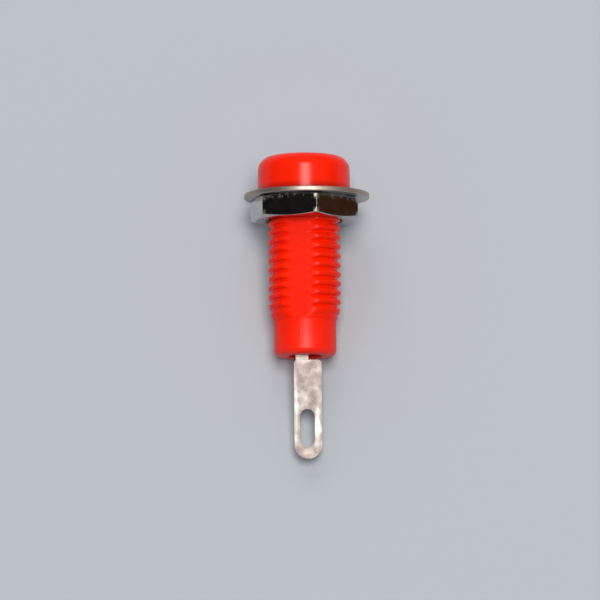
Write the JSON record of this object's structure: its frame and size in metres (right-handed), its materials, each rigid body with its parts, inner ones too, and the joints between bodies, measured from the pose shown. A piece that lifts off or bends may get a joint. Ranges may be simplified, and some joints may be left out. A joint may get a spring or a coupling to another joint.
{
  "type": "panel tip jack",
  "caption": "Insulated panel jack for a tip plug: red moulded body with a round cap and threaded shank, spring contact with a slotted solder lug, flat washer and hexagon nut.",
  "frame": {"origin": "on the jack's axis, in the plane of the cap's underside, which seats on the panel", "axes": "+Z along the axis out of the socket's mouth, towards the user; the solder lug points along -Z and its flat face looks along -Y"},
  "size_m": [0.0107, 0.0106, 0.0261],
  "materials": {
    "red_nylon": "moulded nylon, semi-gloss",
    "tinned_contact": "tin-plated, dull, slightly marked",
    "plated_washer": "bright nickel plate",
    "plated_nut": "bright nickel plate"
  },
  "bodies": {
    "insulator": {"insulator_body": "red_nylon", "spring_contact": "tinned_contact"},
    "washer": {"flat_washer": "plated_washer"},
    "nut": {"hex_nut": "plated_nut"}
  },
  "joints": [
    {"name": "washer_slide", "type": "slide", "parent": "insulator", "child": "washer", "axis": [0, 0, -1], "range_m": [0, 0.0078]},
    {"name": "nut_turn", "type": "hinge", "parent": "washer", "child": "nut", "pos_m": [0, 0, 0], "axis": [0, 0, -1], "range_deg": [0, 3540]}
  ],
  "couplings": [
    {"joint": "nut_turn", "follows": "washer_slide", "rad_per_m": 7913.3}
  ]
}
